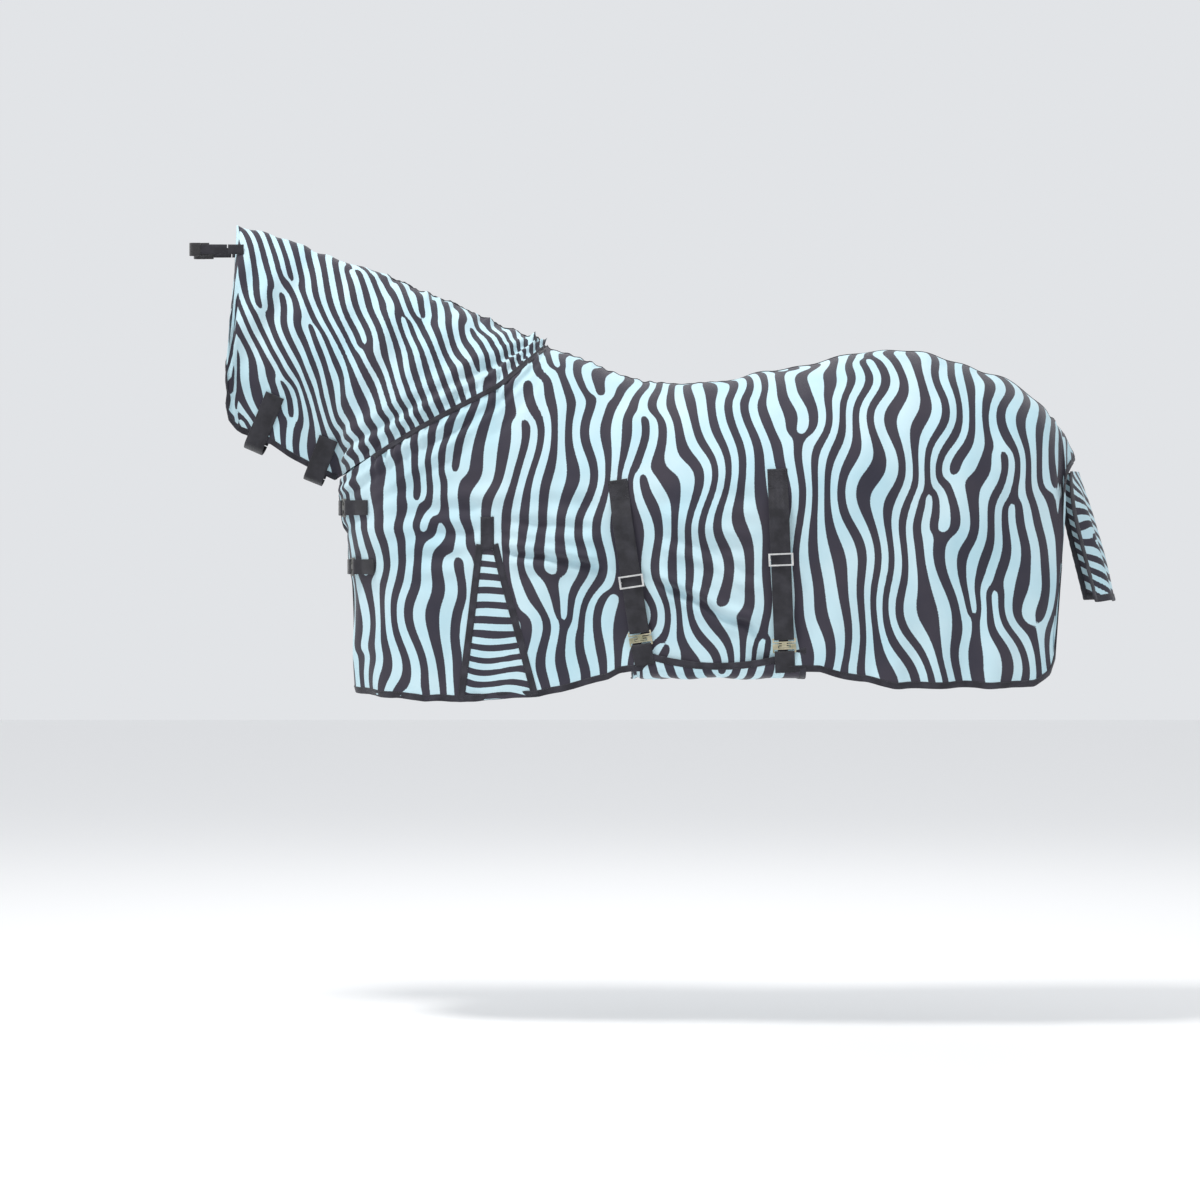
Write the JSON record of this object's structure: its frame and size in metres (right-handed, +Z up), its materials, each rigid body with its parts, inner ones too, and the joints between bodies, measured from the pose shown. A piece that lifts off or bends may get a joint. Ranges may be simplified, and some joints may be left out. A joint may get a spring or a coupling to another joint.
{
  "type": "horse fly sheet",
  "caption": "Full-neck mesh horse fly sheet with a wrap-under belly flap, tail flap, shoulder gussets, surcingle, chest and neck closures.",
  "frame": {"origin": "on the spine seam at the withers, on the outer face of the cloth", "axes": "+X towards the tail, -Y towards the horse's left side (the side with the surcingles), +Z up"},
  "size_m": [2.3691, 0.6441, 1.2169],
  "materials": {
    "printed_mesh": "fine open polyester mesh, printed in pale aqua and charcoal stripes",
    "black_tape": "folded polyester binding and tape",
    "black_elastic": "ribbed elastic",
    "black_webbing": "woven polypropylene webbing",
    "hook_and_loop": "hook-and-loop tape",
    "aged_brass": "antique brass-plated pressed steel",
    "bright_steel": "nickel-plated steel wire",
    "dark_metal": "gunmetal plated steel"
  },
  "bodies": {
    "sheet": {"body_panel_left": "printed_mesh", "body_panel_right": "printed_mesh", "shoulder_gusset_left": "printed_mesh", "shoulder_gusset_right": "printed_mesh", "hem_binding_left": "black_tape", "hem_binding_right": "black_tape", "rear_binding_left": "black_tape", "rear_binding_right": "black_tape", "chest_binding_left": "black_tape", "chest_binding_right": "black_tape", "gusset_tapes_left": "black_tape", "gusset_tapes_right": "black_tape", "gusset_patch_left": "black_tape", "gusset_patch_right": "black_tape", "neck_panel_left": "printed_mesh", "neck_panel_right": "printed_mesh", "neck_front_binding_left": "black_tape", "neck_front_binding_right": "black_tape", "neck_lower_binding_left": "black_tape", "neck_lower_binding_right": "black_tape", "neck_seam_tape_left": "black_tape", "neck_seam_tape_right": "black_tape", "poll_base_left": "black_webbing", "poll_base_right": "black_webbing", "spine_tape": "black_tape", "crest_elastic": "black_elastic", "surcingle_strap_front": "black_webbing", "surcingle_strap_rear": "black_webbing", "chest_strap_left_upper": "black_webbing", "chest_strap_left_lower": "black_webbing", "chest_strap_right_upper": "black_webbing", "chest_strap_right_lower": "black_webbing", "chest_plate_upper": "dark_metal", "chest_plate_lower": "dark_metal", "neck_strap_base_front": "black_webbing", "neck_strap_base_rear": "black_webbing", "neck_loop_patch_front": "hook_and_loop", "neck_loop_patch_rear": "hook_and_loop"},
    "tail_flap": {"tail_flap": "printed_mesh", "tail_flap_binding": "black_tape"},
    "belly_flap": {"belly_flap": "printed_mesh", "belly_flap_binding": "black_tape", "flap_loop_front": "black_webbing", "flap_loop_rear": "black_webbing", "flap_plate_front": "aged_brass", "flap_plate_rear": "aged_brass"},
    "hook_front": {"surcingle_hook_front": "aged_brass"},
    "hook_rear": {"surcingle_hook_rear": "aged_brass"},
    "slide_front": {"slide_adjuster_front": "bright_steel"},
    "slide_rear": {"slide_adjuster_rear": "bright_steel"},
    "chest_hook_upper": {"chest_hook_upper": "dark_metal"},
    "chest_hook_lower": {"chest_hook_lower": "dark_metal"},
    "neck_strap_front": {"neck_strap_front": "black_webbing"},
    "neck_strap_rear": {"neck_strap_rear": "black_webbing"},
    "poll_strap_left": {"poll_strap_left": "black_webbing", "poll_hook_tab_left": "hook_and_loop"},
    "poll_strap_right": {"poll_strap_right": "black_webbing", "poll_hook_tab_right": "hook_and_loop"}
  },
  "joints": [
    {"name": "tail_flap_lift", "type": "hinge", "parent": "sheet", "child": "tail_flap", "pos_m": [1.168, 0, -0.22], "axis": [0, -1, 0], "range_deg": [0, 110]},
    {"name": "belly_flap_open", "type": "hinge", "parent": "sheet", "child": "belly_flap", "pos_m": [0.265, 0.2765, -0.748], "axis": [0.9977, 0.0679, 0], "range_deg": [0, 85]},
    {"name": "surcingle_unhook_front", "type": "hinge", "parent": "sheet", "child": "hook_front", "pos_m": [0.04839, -0.27739, -0.64961], "axis": [-0.9797, 0.1371, -0.1461], "range_deg": [0, 80]},
    {"name": "surcingle_unhook_rear", "type": "hinge", "parent": "sheet", "child": "hook_rear", "pos_m": [0.40892, -0.31157, -0.66642], "axis": [-0.9988, 0.0278, -0.0403], "range_deg": [0, 80]},
    {"name": "slide_adjust_front", "type": "slide", "parent": "sheet", "child": "slide_front", "axis": [-0.1506, -0.0231, 0.9883], "range_m": [-0.05, 0.08]},
    {"name": "slide_adjust_rear", "type": "slide", "parent": "sheet", "child": "slide_rear", "axis": [-0.0415, -0.0431, 0.9982], "range_m": [-0.05, 0.08]},
    {"name": "chest_unhook_upper", "type": "hinge", "parent": "sheet", "child": "chest_hook_upper", "pos_m": [-0.69691, -0.09924, -0.337], "axis": [0, 0, 1], "range_deg": [0, 80]},
    {"name": "chest_unhook_lower", "type": "hinge", "parent": "sheet", "child": "chest_hook_lower", "pos_m": [-0.67529, -0.09924, -0.487], "axis": [0, 0, 1], "range_deg": [0, 80]},
    {"name": "neck_strap_open_front", "type": "hinge", "parent": "sheet", "child": "neck_strap_front", "pos_m": [-0.93, 0.04803, -0.16917], "axis": [0.9165, 0, -0.3999], "range_deg": [0, 100]},
    {"name": "neck_strap_open_rear", "type": "hinge", "parent": "sheet", "child": "neck_strap_rear", "pos_m": [-0.78077, 0.03375, -0.25526], "axis": [0.9262, 0, -0.377], "range_deg": [0, 100]},
    {"name": "poll_strap_swing_left", "type": "hinge", "parent": "sheet", "child": "poll_strap_left", "pos_m": [-0.998, -0.06309, 0.322], "axis": [0, 0, 1], "range_deg": [-20, 60]},
    {"name": "poll_strap_swing_right", "type": "hinge", "parent": "sheet", "child": "poll_strap_right", "pos_m": [-0.998, 0.06309, 0.322], "axis": [0, 0, -1], "range_deg": [-20, 60]}
  ]
}
